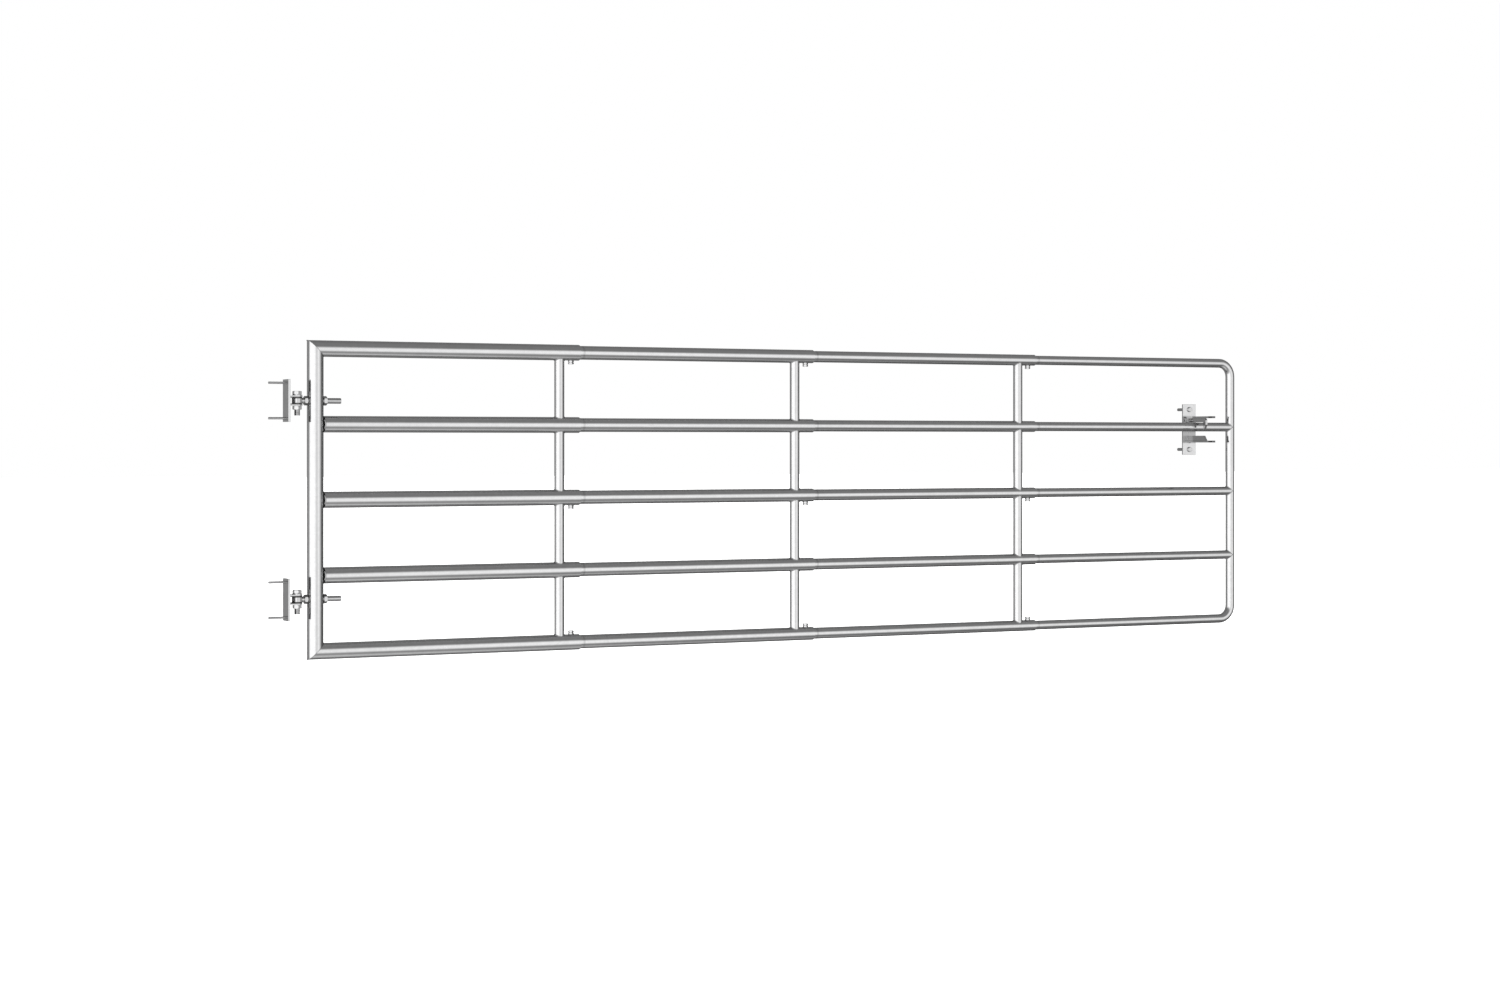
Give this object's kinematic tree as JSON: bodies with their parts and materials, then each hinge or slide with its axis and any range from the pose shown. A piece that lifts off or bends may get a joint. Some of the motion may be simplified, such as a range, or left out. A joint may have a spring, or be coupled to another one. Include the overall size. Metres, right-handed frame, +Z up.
{
  "type": "livestock panel gate",
  "caption": "Telescopic tubular steel field gate hung on adjustable eyebolt hinges, with screw-locked extending sections and a wall catch whose gravity finger drops over a rail.",
  "frame": {"origin": "centre of the lower hinge plate's back face, where it lies against the wall or post", "axes": "+X along the closed gate away from the hinges, +Y towards the far side of the gate where the catch plate is, +Z up"},
  "size_m": [4.2959, 0.2559, 1.16],
  "materials": {
    "galvanised_tube": "bright galvanised",
    "galvanised_plate": "galvanised plate",
    "zinc_fastener": "bright zinc plated",
    "catch_steel": "galvanised, worn on the sliding edges"
  },
  "bodies": {
    "wall_fixings": {"lower_hinge_plate": "galvanised_plate", "lower_hinge_anchors": "zinc_fastener", "lower_hinge_ears": "galvanised_plate", "lower_hinge_pin": "zinc_fastener", "lower_pin_washer": "zinc_fastener", "lower_pin_nut": "zinc_fastener", "upper_hinge_plate": "galvanised_plate", "upper_hinge_anchors": "zinc_fastener", "upper_hinge_ears": "galvanised_plate", "upper_hinge_pin": "zinc_fastener", "upper_pin_washer": "zinc_fastener", "upper_pin_nut": "zinc_fastener", "catch_plate": "galvanised_plate", "catch_anchors": "zinc_fastener", "catch_cheeks": "galvanised_plate", "catch_jaw": "catch_steel", "catch_pivot_pin": "zinc_fastener"},
    "section_1": {"section_1_bottom_rail": "galvanised_tube", "section_1_lower_rail": "galvanised_tube", "section_1_middle_rail": "galvanised_tube", "section_1_upper_rail": "galvanised_tube", "section_1_top_rail": "galvanised_tube", "section_1_braces": "galvanised_tube", "section_1_weld_nuts": "zinc_fastener", "hinge_stile": "galvanised_tube", "lower_eyebolt": "zinc_fastener", "lower_eyebolt_nuts": "zinc_fastener", "upper_eyebolt": "zinc_fastener", "upper_eyebolt_nuts": "zinc_fastener"},
    "section_2": {"section_2_bottom_rail": "galvanised_tube", "section_2_lower_rail": "galvanised_tube", "section_2_middle_rail": "galvanised_tube", "section_2_upper_rail": "galvanised_tube", "section_2_top_rail": "galvanised_tube", "section_2_braces": "galvanised_tube", "section_2_weld_nuts": "zinc_fastener"},
    "section_3": {"section_3_bottom_rail": "galvanised_tube", "section_3_lower_rail": "galvanised_tube", "section_3_middle_rail": "galvanised_tube", "section_3_upper_rail": "galvanised_tube", "section_3_top_rail": "galvanised_tube", "section_3_braces": "galvanised_tube", "section_3_weld_nuts": "zinc_fastener"},
    "section_4": {"section_4_hoop": "galvanised_tube", "section_4_lower_rail": "galvanised_tube", "section_4_middle_rail": "galvanised_tube", "section_4_upper_rail": "galvanised_tube"},
    "catch_finger": {"catch_finger_hook": "catch_steel", "catch_finger_bar": "catch_steel"},
    "section_1_bottom_screw": {"section_1_bottom_screw": "zinc_fastener"},
    "section_1_middle_screw": {"section_1_middle_screw": "zinc_fastener"},
    "section_1_top_screw": {"section_1_top_screw": "zinc_fastener"},
    "section_2_bottom_screw": {"section_2_bottom_screw": "zinc_fastener"},
    "section_2_middle_screw": {"section_2_middle_screw": "zinc_fastener"},
    "section_2_top_screw": {"section_2_top_screw": "zinc_fastener"},
    "section_3_bottom_screw": {"section_3_bottom_screw": "zinc_fastener"},
    "section_3_middle_screw": {"section_3_middle_screw": "zinc_fastener"},
    "section_3_top_screw": {"section_3_top_screw": "zinc_fastener"}
  },
  "joints": [
    {"name": "gate_swing", "type": "hinge", "parent": "wall_fixings", "child": "section_1", "pos_m": [0.043, 0, 0], "axis": [0, 0, -1], "range_deg": [0, 90]},
    {"name": "section_2_slide", "type": "slide", "parent": "section_1", "child": "section_2", "axis": [1, 0, 0], "range_m": [-0.85, 0.05]},
    {"name": "section_3_slide", "type": "slide", "parent": "section_2", "child": "section_3", "axis": [1, 0, 0], "range_m": [-0.929, 0.05]},
    {"name": "section_4_slide", "type": "slide", "parent": "section_3", "child": "section_4", "axis": [1, 0, 0], "range_m": [-0.929, 0.05]},
    {"name": "catch_finger_lift", "type": "hinge", "parent": "wall_fixings", "child": "catch_finger", "pos_m": [4.04, 0.0399, 0.6639], "axis": [-1, 0, 0], "range_deg": [0, 60]},
    {"name": "section_1_bottom_screw_release", "type": "slide", "parent": "section_1", "child": "section_1_bottom_screw", "axis": [0, 0, 1], "range_m": [0, 0.006]},
    {"name": "section_1_middle_screw_release", "type": "slide", "parent": "section_1", "child": "section_1_middle_screw", "axis": [0, 0, -1], "range_m": [0, 0.006]},
    {"name": "section_1_top_screw_release", "type": "slide", "parent": "section_1", "child": "section_1_top_screw", "axis": [0, 0, -1], "range_m": [0, 0.006]},
    {"name": "section_2_bottom_screw_release", "type": "slide", "parent": "section_2", "child": "section_2_bottom_screw", "axis": [0, 0, 1], "range_m": [0, 0.006]},
    {"name": "section_2_middle_screw_release", "type": "slide", "parent": "section_2", "child": "section_2_middle_screw", "axis": [0, 0, -1], "range_m": [0, 0.006]},
    {"name": "section_2_top_screw_release", "type": "slide", "parent": "section_2", "child": "section_2_top_screw", "axis": [0, 0, -1], "range_m": [0, 0.006]},
    {"name": "section_3_bottom_screw_release", "type": "slide", "parent": "section_3", "child": "section_3_bottom_screw", "axis": [0, 0, 1], "range_m": [0, 0.006]},
    {"name": "section_3_middle_screw_release", "type": "slide", "parent": "section_3", "child": "section_3_middle_screw", "axis": [0, 0, -1], "range_m": [0, 0.006]},
    {"name": "section_3_top_screw_release", "type": "slide", "parent": "section_3", "child": "section_3_top_screw", "axis": [0, 0, -1], "range_m": [0, 0.006]}
  ]
}
